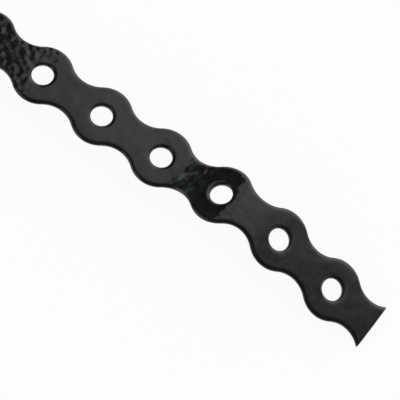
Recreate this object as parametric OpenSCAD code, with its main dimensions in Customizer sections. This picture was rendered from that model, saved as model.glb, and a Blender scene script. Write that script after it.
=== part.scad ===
// Perforated steel strap: a wavy-edged band with one round hole in each lobe, in a black plastic coat.
// It lies on the floor as a low hump, with its sheared end bent down and a flat tail.

/* [Band] */
// Distance from hole to hole
hole_pitch = 20; // [19:0.5:26]
// Number of holes
hole_count = 25; // [16:1:40]
// Width over the lobes
lobe_w = 17.8; // [16:0.2:19]
// Width at the necks between the lobes
neck_w = 10.8; // [9:0.2:12]
// Thickness over the coat
strap_t = 1.7; // [1.5:0.1:2.4]
// Clear diameter of the holes
hole_d = 6.1; // [4:0.1:6.6]

/* [Edges] */
// How far the rounded edge stands out past the borders of the flat faces
edge_crown = 0.5; // [0.2:0.05:0.7]
// Width of the broken rim at each end of a hole
rim_break = 0.4; // [0.1:0.05:0.5]

/* [Ends] */
// From the last hole's centre to the sheared end
cut_margin = 15.1; // [12:0.1:16]
// From the first hole's centre to the tail's end
tail_margin = 4.9; // [4.5:0.1:9]

/* [Bends] */
// Upward bend before the crest, in degrees
rise_angle = 12; // [8:0.5:15]
// Downward bend after the crest, in degrees
drop_angle = 34; // [30:0.5:40]
// Length of band in the foot and shoulder bends
ease_len = 12; // [8:0.5:12]
// Length of band in the upward bend
rise_len = 6; // [4:0.5:6]
// Length of band in the downward bend
drop_len = 12; // [8:0.2:12]
// Pitches from the foot of the slope to its shoulder
slope_pitches = 5; // [4:1:9]
// Pitches from the last hole to the middle of the downward bend
drop_place = 1.595; // [1.5:0.005:1.6]
// Pitches from the last hole to the middle of the upward bend
rise_place = 2.665; // [2.5:0.005:2.67]
// Pitches from the last hole to the middle of the shoulder bend
shoulder_place = 5.5; // [4.5:1:8.5]

/* [Hidden] */
$fn = 96;

// Steps of the sweep: in one pitch of the wave, round one edge, and the largest turn in a bend in degrees
wave_steps = 12;
edge_steps = 4;
bend_step = 3;
// Stations nearer than this are left out
least_step = 0.4;
// The hole cutter reaches this far past the faces
over = 0.1;

// Round stretches of the wave: lobes and necks have one radius and meet at a quarter of the pitch
wave_h = (lobe_w - neck_w) / 2;
wave_r = (pow(hole_pitch / 2, 2) + wave_h * wave_h) / (4 * wave_h);
lobe_y = lobe_w / 2 - wave_r;
neck_y = neck_w / 2 + wave_r;

// Arc that rounds an edge across the thickness
crown_r = (edge_crown * edge_crown + strap_t * strap_t / 4) / (2 * edge_crown);
crown_angle = asin(strap_t / 2 / crown_r);

// Half width at a place along the band
function half_width(s) =
    let(u = abs((s - tail_margin) / hole_pitch - round((s - tail_margin) / hole_pitch)) * hole_pitch)
    u < hole_pitch / 4 ? lobe_y + sqrt(wave_r * wave_r - u * u)
        : neck_y - sqrt(wave_r * wave_r - pow(hole_pitch / 2 - u, 2));

// Section of the band at a half width, from the upper border round both edges
function section(w) =
    let(side = [for (i = [0:edge_steps])
        let(a = crown_angle * (1 - 2 * i / edge_steps))
        [w - crown_r + crown_r * cos(a), crown_r * sin(a)]])
    concat(side, [for (i = [edge_steps:-1:0]) [-side[i][0], side[i][1]]]);

// Legs of the band from the tail to the sheared end: length, then the angle at its start and end.
// Each bend takes up the neck between two holes, and the slope is as steep as it takes for
// the sheared end to come down to the floor.
band_len = tail_margin + (hole_count - 1) * hole_pitch + cut_margin;
end_angle = rise_angle - drop_angle;
end_len = cut_margin + drop_place * hole_pitch - drop_len / 2;
crest_len = (rise_place - drop_place) * hole_pitch - (drop_len + rise_len) / 2;
flat_len = (shoulder_place - rise_place) * hole_pitch - (rise_len + ease_len) / 2;
slope_len = slope_pitches * hole_pitch - ease_len;
tail_len = band_len - slope_len - flat_len - crest_len - end_len - 2 * ease_len - rise_len - drop_len;
hump = [
    [flat_len, 0, 0],
    [rise_len, 0, rise_angle],
    [crest_len, rise_angle, rise_angle],
    [drop_len, rise_angle, end_angle],
    [end_len, end_angle, end_angle]];
climb = [for (leg = hump) leg[0] * sin((leg[1] + leg[2]) / 2)] * [1, 1, 1, 1, 1];
slope_angle = asin((strap_t / 2 * (cos(end_angle) - 1) - climb) / (slope_pitches * hole_pitch));
legs = concat([
    [tail_len, 0, 0],
    [ease_len, 0, slope_angle],
    [slope_len, slope_angle, slope_angle],
    [ease_len, slope_angle, 0]], hump);

// Stations of the sweep in one leg: even steps in a bend, and the wave's own steps in a flat stretch
function stations(j, from) =
    let(len = legs[j][0], turn = abs(legs[j][2] - legs[j][1]), step = hole_pitch / wave_steps)
    turn > 0
        ? let(n = ceil(turn / bend_step)) [for (i = [0:n - 1]) from + len * i / n]
        : [from, for (i = [ceil((from + least_step - tail_margin) / step)
            : floor((from + len - least_step - tail_margin) / step)]) tail_margin + i * step];
function all_stations(j = 0, from = 0) = j == len(legs) ? [from]
    : concat(stations(j, from), all_stations(j + 1, from + legs[j][0]));
function angle_at(s, j = 0) = s < legs[j][0] || j == len(legs) - 1
    ? legs[j][1] + (legs[j][2] - legs[j][1]) * s / legs[j][0]
    : angle_at(s - legs[j][0], j + 1);

station = all_stations();
last = len(station) - 1;
angle = [for (i = [0:last - 1]) angle_at((station[i] + station[i + 1]) / 2)];

// Middle of the band at each station, in the side view
function middles(i = 0, at = [0, strap_t / 2]) = i == last ? [at]
    : concat([at], middles(i + 1, at + (station[i + 1] - station[i]) * [cos(angle[i]), sin(angle[i])]));
middle = middles();
box_len = middle[last][0] - strap_t / 2 * sin(end_angle);

// Ring of the sweep at a station, mitred between its two neighbours
function ring(i) =
    let(before = angle[max(i - 1, 0)], after = angle[min(i, last - 1)])
    let(lean = (before + after) / 2, stretch = 1 / cos((after - before) / 2))
    [for (p = section(half_width(station[i])))
        [middle[i][0] - p[1] * stretch * sin(lean), p[0], middle[i][1] + p[1] * stretch * cos(lean)]];

// Wavy band without its holes
module band() {
    n = 2 * (edge_steps + 1);
    sides = [for (i = [0:last - 1], j = [0:n - 1])
        let(a = i * n + j, b = i * n + (j + 1) % n) each [[a, b, a + n], [b, b + n, a + n]]];
    tail_cap = [for (j = [n - 1:-1:0]) j];
    end_cap = [for (j = [0:n - 1]) last * n + j];
    polyhedron([for (i = [0:last]) each ring(i)], concat(sides, [tail_cap, end_cap]));
}

// Cutter of a hole: a round wall with a broken rim at each face
module hole_cutter() {
    r = hole_d / 2;
    wide = r + rim_break + over;
    top = strap_t / 2 + over;
    wall = strap_t / 2 - rim_break;
    rotate_extrude() polygon([[0, -top], [wide, -top], [r, -wall], [r, wall], [wide, top], [0, top]]);
}

// Puts a hole cutter on the band at a place along it
module at_place(s) {
    i = [for (k = [0:last - 1]) if (station[k] <= s && s < station[k + 1]) k][0];
    at = middle[i] + (s - station[i]) * [cos(angle[i]), sin(angle[i])];
    translate([at[0], 0, at[1]]) rotate([0, -angle[i], 0]) children();
}

// The strap, standing on the floor with its box centred on the origin
module strap() {
    color([0.06, 0.06, 0.065]) translate([-box_len / 2, 0, 0]) difference() {
        band();
        for (k = [0:hole_count - 1]) at_place(tail_margin + k * hole_pitch) hole_cutter();
    }
}

strap();
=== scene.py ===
# A cut length of perforated steel strap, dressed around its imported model, in metres.
import math

import bmesh
import bpy
from mathutils import Matrix, Vector


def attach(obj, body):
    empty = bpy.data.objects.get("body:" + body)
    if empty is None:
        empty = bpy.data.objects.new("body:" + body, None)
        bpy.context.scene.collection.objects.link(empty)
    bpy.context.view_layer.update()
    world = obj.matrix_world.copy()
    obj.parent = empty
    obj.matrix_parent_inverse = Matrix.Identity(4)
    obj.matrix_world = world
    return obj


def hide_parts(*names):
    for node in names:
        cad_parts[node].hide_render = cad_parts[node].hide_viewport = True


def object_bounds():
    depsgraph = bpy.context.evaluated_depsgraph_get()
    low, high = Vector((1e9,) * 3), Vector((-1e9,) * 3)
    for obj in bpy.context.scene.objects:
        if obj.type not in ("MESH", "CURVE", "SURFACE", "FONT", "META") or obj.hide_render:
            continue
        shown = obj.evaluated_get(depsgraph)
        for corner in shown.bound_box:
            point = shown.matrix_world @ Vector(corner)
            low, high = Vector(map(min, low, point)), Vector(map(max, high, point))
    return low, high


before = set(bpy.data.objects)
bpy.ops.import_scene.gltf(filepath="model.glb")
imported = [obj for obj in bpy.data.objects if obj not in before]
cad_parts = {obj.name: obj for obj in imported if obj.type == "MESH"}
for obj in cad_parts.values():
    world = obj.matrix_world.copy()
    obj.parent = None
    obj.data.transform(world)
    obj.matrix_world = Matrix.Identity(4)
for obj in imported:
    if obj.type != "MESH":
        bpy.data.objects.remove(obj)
cad_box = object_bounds()

# Strap band: one length of thin steel band, punched with round holes and wavy edges on an even
# pitch, then coated with black plastic that rounds every punched edge and settles in soft ripples.
# It is cut square with shears at both ends and was bent by hand near the end the photograph shows.
pitch = 0.020
lobe_width = 0.0178
neck_width = 0.0108
thickness = 0.0017
hole_radius = 0.00305
hole_count = 25
tail_margin = 0.0049
cut_margin = 0.0151
strap_length = tail_margin + (hole_count - 1) * pitch + cut_margin
wave_height = (lobe_width - neck_width) / 2
wave_radius = ((pitch / 2) ** 2 + wave_height ** 2) / (4 * wave_height)
neck_steps = 6
side_steps = 26
half_steps = neck_steps + side_steps


def half_width(along):
    from_hole = abs(along)
    if from_hole < pitch / 4:
        return lobe_width / 2 - wave_radius + math.sqrt(wave_radius ** 2 - from_hole ** 2)
    from_neck = pitch / 2 - from_hole
    return neck_width / 2 + wave_radius - math.sqrt(wave_radius ** 2 - from_neck ** 2)


def link_border(step):
    if step >= half_steps:
        return -link_border(step - half_steps)
    if step <= neck_steps:
        return Vector((pitch / 2, neck_width * (step / neck_steps - 0.5), 0))
    along = pitch * (0.5 - (step - neck_steps) / side_steps)
    return Vector((along, half_width(along), 0))


# One flat link: a ring of spokes from the punched hole out to the wave and the two necks.
band = bmesh.new()
hole_ring = bmesh.ops.create_circle(band, segments=2 * half_steps, radius=hole_radius)["verts"]
border_ring = bmesh.ops.create_circle(band, segments=2 * half_steps, radius=pitch)["verts"]
for step in range(2 * half_steps):
    border = link_border(step)
    border_ring[step].co = border
    hole_ring[step].co = border.normalized() * hole_radius
bmesh.ops.bridge_loops(band, edges=band.edges[:])
bmesh.ops.translate(band, verts=band.verts[:], vec=(tail_margin - pitch, 0, 0))

# The links follow one another, one more at each end than the holes, and get twice their thickness.
merge_distance = 0.00001
over_thick = 2
link = band.verts[:] + band.edges[:] + band.faces[:]
for number in range(1, hole_count + 2):
    copy = bmesh.ops.duplicate(band, geom=link)["geom"]
    corners = [part for part in copy if isinstance(part, bmesh.types.BMVert)]
    bmesh.ops.translate(band, verts=corners, vec=(number * pitch, 0, 0))
bmesh.ops.remove_doubles(band, verts=band.verts[:], dist=merge_distance)
bmesh.ops.recalc_face_normals(band, faces=band.faces[:])
bmesh.ops.solidify(band, geom=band.faces[:], thickness=over_thick * thickness)
lowest = min(corner.co.z for corner in band.verts)
bmesh.ops.translate(band, verts=band.verts[:], vec=(0, 0, -lowest - thickness))
bmesh.ops.recalc_face_normals(band, faces=band.faces[:])
band.normal_update()


def hole_nearest(along):
    return tail_margin + pitch * round((along - tail_margin) / pitch)


# The coat rolls off in a flat oval towards the wavy edges and the hole rims: a round edge on the
# band of twice the thickness, pressed to the real thickness afterwards.
wave_rounding = 0.00130
rim_rounding = 0.00120
rounding_steps = 7
flat_least = 0.99
wall_most = 0.01
rim_reach = hole_radius + 0.0001
for rounding, around_holes in ((wave_rounding, False), (rim_rounding, True)):
    rims = []
    for edge in band.edges:
        flats = [face for face in edge.link_faces if abs(face.normal.z) > flat_least]
        walls = [face for face in edge.link_faces if abs(face.normal.z) < wall_most]
        if len(flats) != 1 or len(walls) != 1:
            continue
        middle = (edge.verts[0].co + edge.verts[1].co) / 2
        from_hole = math.hypot(middle.x - hole_nearest(middle.x), middle.y)
        if (from_hole < rim_reach) == around_holes:
            rims.append(edge)
    bmesh.ops.bevel(
        band,
        geom=rims,
        offset=rounding,
        offset_type="OFFSET",
        affect="EDGES",
        segments=rounding_steps,
        profile=0.5,
        material=-1,
    )
    band.normal_update()

# The spokes on the flat faces are cut into short lengths, so that the faces can take a slight
# crown across the band.
spoke_cuts = 4
level_least = 0.9999
seam_place = pitch / 2 - merge_distance
crown = 0.00018
spokes = []
for edge in band.edges:
    if min(abs(face.normal.z) for face in edge.link_faces) < level_least:
        continue
    from_hole = [abs(corner.co.x - hole_nearest(corner.co.x)) for corner in edge.verts]
    if min(from_hole) < seam_place:
        spokes.append(edge)
bmesh.ops.subdivide_edges(band, edges=spokes, cuts=spoke_cuts, use_grid_fill=True)
bmesh.ops.scale(band, verts=band.verts[:], vec=(1, 1, 1 / over_thick))
for corner in band.verts:
    if corner.co.z > 0:
        corner.co.z -= crown * (2 * corner.co.y / lobe_width) ** 2
band.normal_update()

# The shears trim both ends square, after the coating, so the cut faces stay flat and sharp and
# show the steel inside the coat.
coat_thickness = 0.0003
cut_tolerance = 0.000001
sharp_angle = math.radians(50)
steel_slot = 1
for face in band.faces:
    face.smooth = True
for cut_place, cut_side in ((0.0, -1.0), (strap_length, 1.0)):
    solid = band.verts[:] + band.edges[:] + band.faces[:]
    bmesh.ops.bisect_plane(
        band,
        geom=solid,
        dist=cut_tolerance,
        plane_co=(cut_place, 0, 0),
        plane_no=(cut_side, 0, 0),
        clear_outer=True,
    )
    rim = [edge for edge in band.edges if edge.is_boundary]
    cut_face = bmesh.ops.holes_fill(band, edges=rim, sides=0)["faces"]
    bmesh.ops.inset_region(band, faces=cut_face, thickness=coat_thickness, use_even_offset=True)
    for face in cut_face:
        face.material_index = steel_slot
bmesh.ops.recalc_face_normals(band, faces=band.faces[:])
for edge in band.edges:
    edge.smooth = edge.calc_face_angle() < sharp_angle

# Each leg of the hand bending: its length along the band, and its slope where it starts and ends.
# The long slope is as steep as it takes for the sheared end to come down to the floor.
rise = math.radians(12)
drop = math.radians(-22)
ease_length = 0.012
rise_length = 0.006
drop_length = 0.012
slope_run = 5 * pitch
drop_place = 1.595 * pitch
rise_place = 2.665 * pitch
shoulder_place = 5.5 * pitch
end_length = cut_margin + drop_place - drop_length / 2
crest_length = rise_place - drop_place - (drop_length + rise_length) / 2
flat_length = shoulder_place - rise_place - (rise_length + ease_length) / 2
hump = (
    (flat_length, 0, 0),
    (rise_length, 0, rise),
    (crest_length, rise, rise),
    (drop_length, rise, drop),
    (end_length, drop, drop),
)
climb = sum(length * math.sin((start + end) / 2) for length, start, end in hump)
slope = math.asin((thickness / 2 * (math.cos(drop) - 1) - climb) / slope_run)
hump_length = sum(leg[0] for leg in hump)
legs = (
    (strap_length - hump_length - slope_run - ease_length, 0, 0),
    (ease_length, 0, slope),
    (slope_run - ease_length, slope, slope),
    (ease_length, slope, 0),
) + hump
tail_start = Vector((cad_box[0][0], 0, cad_box[0][2] + thickness / 2))


def bent(flat):
    left = flat.x
    place = tail_start.copy()
    for number, (length, start, end) in enumerate(legs):
        last = number == len(legs) - 1
        run = left if last or left < length else length
        angle = start + (end - start) * run / length
        if start == end:
            place += Vector((math.cos(start), 0, math.sin(start))) * run
        else:
            radius = length / (end - start)
            place.x += radius * (math.sin(angle) - math.sin(start))
            place.z += radius * (math.cos(start) - math.cos(angle))
        left -= run
        if left <= 0:
            break
    return place + Vector((-flat.z * math.sin(angle), flat.y, flat.z * math.cos(angle)))


for corner in band.verts:
    corner.co = bent(corner.co)
bmesh.ops.recalc_face_normals(band, faces=band.faces[:])
strap_mesh = bpy.data.meshes.new("strap_band")
band.to_mesh(strap_mesh)
band.free()
strap_band = bpy.data.objects.new("strap_band", strap_mesh)
bpy.context.scene.collection.objects.link(strap_band)
even_shading = strap_band.modifiers.new("even_shading", "WEIGHTED_NORMAL")
even_shading.keep_sharp = True
even_shading.weight = 80

# The plastic coat: glossy black with faint patches of cloudiness and of a cooler black. Each
# helper adds to the finish whose nodes and links are in hand.
deep_black = (0.0040, 0.0042, 0.0042, 1)
soft_black = (0.0086, 0.0088, 0.0088, 1)
cool_black = (0.0034, 0.0068, 0.0074, 1)
paler_black = (0.0220, 0.0290, 0.0290, 1)
coat = bpy.data.materials.new("black_plastic_coat")
coat.use_nodes = True
nodes = coat.node_tree.nodes
links = coat.node_tree.links
shader = nodes["Principled BSDF"]
shader.inputs["IOR"].default_value = 1.5
place_on = nodes.new("ShaderNodeTexCoord")
axes = nodes.new("ShaderNodeSeparateXYZ")
links.new(place_on.outputs["Object"], axes.inputs["Vector"])
place_x = axes.outputs["X"]


def cloudiness(scale, detail):
    noise = nodes.new("ShaderNodeTexNoise")
    noise.inputs["Scale"].default_value = scale
    noise.inputs["Detail"].default_value = detail
    noise.inputs["Roughness"].default_value = 0.5
    links.new(place_on.outputs["Object"], noise.inputs["Vector"])
    return noise.outputs["Fac"]


def ranged(value, start, end, low, high):
    spread = nodes.new("ShaderNodeMapRange")
    spread.interpolation_type = "SMOOTHSTEP"
    spread.inputs["From Min"].default_value = start
    spread.inputs["From Max"].default_value = end
    spread.inputs["To Min"].default_value = low
    spread.inputs["To Max"].default_value = high
    links.new(value, spread.inputs["Value"])
    return spread.outputs["Result"]


def worked(operation, first, second):
    maths = nodes.new("ShaderNodeMath")
    maths.operation = operation
    links.new(first, maths.inputs[0])
    if isinstance(second, float):
        maths.inputs[1].default_value = second
    else:
        links.new(second, maths.inputs[1])
    return maths.outputs[0]


def relief(height, under):
    bump = nodes.new("ShaderNodeBump")
    bump.inputs["Strength"].default_value = 1.0
    bump.inputs["Distance"].default_value = 0.001
    links.new(height, bump.inputs["Height"])
    if under is not None:
        links.new(under, bump.inputs["Normal"])
    return bump.outputs["Normal"]


def colour_mix(factor, first, second):
    blend = nodes.new("ShaderNodeMix")
    blend.data_type = "RGBA"
    links.new(factor, blend.inputs["Factor"])
    if isinstance(first, tuple):
        blend.inputs["A"].default_value = first
    else:
        links.new(first, blend.inputs["A"])
    blend.inputs["B"].default_value = second
    return blend.outputs["Result"]


broad_clouds = cloudiness(scale=150, detail=3)
small_clouds = cloudiness(scale=520, detail=2)
clouds = worked("MULTIPLY", worked("ADD", broad_clouds, small_clouds), 0.5)
cloudy = colour_mix(ranged(clouds, 0.35, 0.65, 0, 1), deep_black, soft_black)
cool_patches = ranged(cloudiness(scale=190, detail=2), 0.48, 0.62, 0, 0.35)
tinted = colour_mix(cool_patches, cloudy, cool_black)


def bend_x(place):
    return bent(Vector((strap_length - cut_margin - place, 0, 0))).x


def near_bend(middle, begins, full, fades, ends):
    growing = ranged(place_x, middle + begins, middle + full, 0, 1)
    fading = ranged(place_x, middle + fades, middle + ends, 1, 0)
    return worked("MULTIPLY", growing, fading)


def rippled(scale, detail, height):
    return worked("MULTIPLY", worked("SUBTRACT", cloudiness(scale, detail), 0.5), height)


# The coat's ripples are slight on the flats, deeper over the rise and the drop, and pucker over
# the shoulder. It also sinks a little round the shoulder and lifts before the rise, and over it
# all lies a fine grain. Heights are in millimetres.
shoulder_x = bend_x(shoulder_place)
rise_x = bend_x(rise_place)
drop_x = bend_x(drop_place)
at_shoulder = near_bend(shoulder_x, -0.016, -0.006, 0.003, 0.015)
at_rise = near_bend(rise_x, -0.004, 0.001, 0.005, 0.009)
at_drop = near_bend(drop_x, -0.009, -0.006, -0.002, 0.004)
flat_height = 0.05
rise_height = 0.26
drop_height = 0.16
pucker_height = 0.58
swell_height = 0.24
thinning_depth = -1.0
settling_depth = -0.70
lifting_height = 0.18
grain_height = 0.004
rise_share = worked("MULTIPLY", at_rise, rise_height)
drop_share = worked("MULTIPLY", at_drop, drop_height)
ripple_height = worked("ADD", worked("ADD", rise_share, drop_share), flat_height)
surface = rippled(scale=400, detail=1, height=ripple_height)
puckers = worked("MULTIPLY", rippled(scale=540, detail=0, height=at_shoulder), pucker_height)
swells = rippled(scale=150, detail=1, height=swell_height)
thinning = ranged(place_x, shoulder_x - 0.010, shoulder_x + 0.009, thinning_depth, 0)
settling = ranged(place_x, shoulder_x - 0.004, shoulder_x + 0.032, settling_depth, 0)
lifting = ranged(place_x, rise_x - 0.011, rise_x - 0.001, 0, lifting_height)
for layer in (puckers, swells, thinning, settling, lifting):
    surface = worked("ADD", surface, layer)
grain = worked("MULTIPLY", cloudiness(scale=2400, detail=2), grain_height)
links.new(relief(grain, relief(surface, None)), shader.inputs["Normal"])

# The base colour turns a paler grey-green in patches over the rise, and the coat is duller there and
# over the shoulder.
finest_gloss = 0.07
dullest_gloss = 0.12
shoulder_dulling = 0.13
rise_dulling = 0.08
paler_patches = ranged(cloudiness(scale=330, detail=2), 0.46, 0.68, 0, 1)
paler_share = worked("MULTIPLY", at_rise, paler_patches)
links.new(colour_mix(paler_share, tinted, paler_black), shader.inputs["Base Color"])
gloss = ranged(cloudiness(scale=260, detail=3), 0.3, 0.7, finest_gloss, dullest_gloss)
gloss = worked("ADD", gloss, worked("MULTIPLY", at_shoulder, shoulder_dulling))
gloss = worked("ADD", gloss, worked("MULTIPLY", at_rise, rise_dulling))
links.new(gloss, shader.inputs["Roughness"])
strap_mesh.materials.append(coat)

# The cut steel at both ends: bare grey metal with the fine drag lines that the shears leave.
dark_steel = (0.22, 0.22, 0.22, 1)
pale_steel = (0.42, 0.42, 0.41, 1)
line_stretch = (1.0, 1.0, 0.15)
line_height = 0.02
steel = bpy.data.materials.new("sheared_steel")
steel.use_nodes = True
nodes = steel.node_tree.nodes
links = steel.node_tree.links
shader = nodes["Principled BSDF"]
shader.inputs["Metallic"].default_value = 1.0
place_on = nodes.new("ShaderNodeTexCoord")
drag = nodes.new("ShaderNodeMapping")
drag.inputs["Scale"].default_value = line_stretch
links.new(place_on.outputs["Object"], drag.inputs["Vector"])
lines = nodes.new("ShaderNodeTexNoise")
lines.inputs["Scale"].default_value = 5200
lines.inputs["Detail"].default_value = 2
links.new(drag.outputs["Vector"], lines.inputs["Vector"])
drag_lines = lines.outputs["Fac"]
greys = colour_mix(ranged(drag_lines, 0.3, 0.7, 0, 1), dark_steel, pale_steel)
links.new(greys, shader.inputs["Base Color"])
links.new(ranged(drag_lines, 0.3, 0.7, 0.30, 0.48), shader.inputs["Roughness"])
line_relief = relief(worked("MULTIPLY", drag_lines, line_height), None)
links.new(line_relief, shader.inputs["Normal"])
strap_mesh.materials.append(steel)
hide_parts("strap")
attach(strap_band, "root")

# Studio floor: a plain pale disc under the strap, with a low wall round it as the backdrop. The
# camera and all reflections see it white, and it keeps a soft shadow of the strap.
floor_radius = 14
floor_sides = 96
backdrop_height = 1.6
floor_colour = (0.8, 0.8, 0.8, 1)
white = (1, 1, 1, 1)
floor_whiteness = 0.92
floor_build = bmesh.new()
bmesh.ops.create_circle(floor_build, cap_ends=True, segments=floor_sides, radius=floor_radius)
bmesh.ops.translate(floor_build, verts=floor_build.verts[:], vec=(0, 0, cad_box[0][2]))
backdrop = bmesh.ops.extrude_edge_only(floor_build, edges=floor_build.edges[:])["geom"]
backdrop_top = [part for part in backdrop if isinstance(part, bmesh.types.BMVert)]
bmesh.ops.translate(floor_build, verts=backdrop_top, vec=(0, 0, backdrop_height))
floor_mesh = bpy.data.meshes.new("studio_floor")
floor_build.to_mesh(floor_mesh)
floor_build.free()
studio_floor = bpy.data.objects.new("studio_floor", floor_mesh)
bpy.context.scene.collection.objects.link(studio_floor)
floor_paint = bpy.data.materials.new("pale_floor")
floor_paint.use_nodes = True
nodes = floor_paint.node_tree.nodes
links = floor_paint.node_tree.links
nodes.remove(nodes["Principled BSDF"])


def shader_mix(factor, first, second):
    blend = nodes.new("ShaderNodeMixShader")
    if isinstance(factor, float):
        blend.inputs[0].default_value = factor
    else:
        links.new(factor, blend.inputs[0])
    links.new(first.outputs[0], blend.inputs[1])
    links.new(second.outputs[0], blend.inputs[2])
    return blend


floor_matt = nodes.new("ShaderNodeBsdfDiffuse")
floor_matt.inputs["Color"].default_value = floor_colour
floor_white = nodes.new("ShaderNodeEmission")
floor_white.inputs["Color"].default_value = white
floor_white.inputs["Strength"].default_value = 1.0
floor_pale = shader_mix(floor_whiteness, floor_matt, floor_white)
floor_rays = nodes.new("ShaderNodeLightPath").outputs
in_view = worked("MAXIMUM", floor_rays["Is Camera Ray"], floor_rays["Is Glossy Ray"])
in_view = worked("MAXIMUM", in_view, floor_rays["Is Transmission Ray"])
floor_look = shader_mix(in_view, floor_matt, floor_pale)
links.new(floor_look.outputs[0], nodes["Material Output"].inputs["Surface"])
floor_mesh.materials.append(floor_paint)

# Studio light: a soft room that lights the strap an even white from all round. Reflections see it
# shaded, brightest behind the strap and pale overhead. It fades towards the camera and ends on
# the left, so the bent part turns dark.
left_end = (0.92, 0.10, 0.423)
room_behind = (-0.15, 1.0, 0.0)
pale_corner = (-0.60, -0.66, 0.45)
least_light = 0.03
room = bpy.data.worlds.new("studio_room")
bpy.context.scene.world = room
room.use_nodes = True
nodes = room.node_tree.nodes
links = room.node_tree.links
room_way = nodes.new("ShaderNodeTexCoord")
room_axes = nodes.new("ShaderNodeSeparateXYZ")
links.new(room_way.outputs["Generated"], room_axes.inputs["Vector"])
rightwards = room_axes.outputs["X"]
backwards = room_axes.outputs["Y"]


def towards(direction):
    way = nodes.new("ShaderNodeVectorMath")
    way.operation = "DOT_PRODUCT"
    way.inputs[1].default_value = direction
    links.new(room_way.outputs["Generated"], way.inputs[0])
    return way.outputs["Value"]


overhead = ranged(towards(left_end), -0.028, 0.028, 0, 1)
behind = worked("MULTIPLY", ranged(backwards, 0.54, 0.80, 0, 1), ranged(rightwards, -0.80, -0.45, 0, 1))
glow = worked("MAXIMUM", overhead, behind)
camera_fade = ranged(towards(room_behind), -0.35, 0.65, 0, 1.13)
left_fade = ranged(rightwards, -0.265, -0.205, 0.80, 1)
back_lift = ranged(backwards, 0.50, 0.95, 1, 1.6)
right_fade = ranged(rightwards, 0.42, 0.64, 1, 0.34)
right_lift = ranged(rightwards, 0.64, 0.90, 0, 1)
right_side = worked("ADD", right_fade, right_lift)
for shading in (camera_fade, left_fade, back_lift, right_side):
    glow = worked("MULTIPLY", glow, shading)
glow = worked("ADD", glow, ranged(towards(pale_corner), 0.90, 0.96, 0, 1))
room_shaded = nodes["Background"]
room_shaded.inputs["Color"].default_value = white
links.new(worked("ADD", glow, least_light), room_shaded.inputs["Strength"])
room_even = nodes.new("ShaderNodeBackground")
room_even.inputs["Color"].default_value = white
room_rays = nodes.new("ShaderNodeLightPath").outputs
room_look = shader_mix(room_rays["Is Glossy Ray"], room_even, room_shaded)
links.new(room_look.outputs[0], nodes["World Output"].inputs["Surface"])

# Camera: a long lens well above the strap, turned and rolled so that the band runs across the
# picture from the upper left to its cut end at the lower right. It is set by the place of the
# sixth hole from that end in the picture, and by the pitch there, in pixels.
image_size = 400
sixth_hole_across = 42.769
sixth_hole_down = 73.910
pitch_in_pixels = 73.5257
sensor_width = 36
distance = 0.7194
yaw = -0.42
tilt = 0.4271
roll = -0.2227
level_turn = Matrix.Rotation(yaw, 3, "Z")
look = Matrix.Rotation(roll, 3, "Z") @ Matrix.Rotation(-tilt, 3, "X") @ level_turn
right = look[0]
up = look[1]
back = look[2]
sixth_hole = bent(Vector((tail_margin + (hole_count - 6) * pitch, 0, thickness / 2)))
pixels_per_metre = pitch_in_pixels / pitch
sixth_right = (sixth_hole_across - image_size / 2) / pixels_per_metre
sixth_up = (image_size / 2 - sixth_hole_down) / pixels_per_metre
camera_data = bpy.data.cameras.new("photo_camera")
camera_data.sensor_width = sensor_width
camera_data.lens = pixels_per_metre * distance * sensor_width / image_size
camera_data.clip_start = 0.01
photo_camera = bpy.data.objects.new("photo_camera", camera_data)
turn = Matrix((right, up, back)).transposed().to_4x4()
place = sixth_hole - right * sixth_right - up * sixth_up + back * distance
photo_camera.matrix_world = Matrix.Translation(place) @ turn
bpy.context.scene.collection.objects.link(photo_camera)
bpy.context.scene.camera = photo_camera
bpy.context.scene.view_settings.view_transform = "Standard"
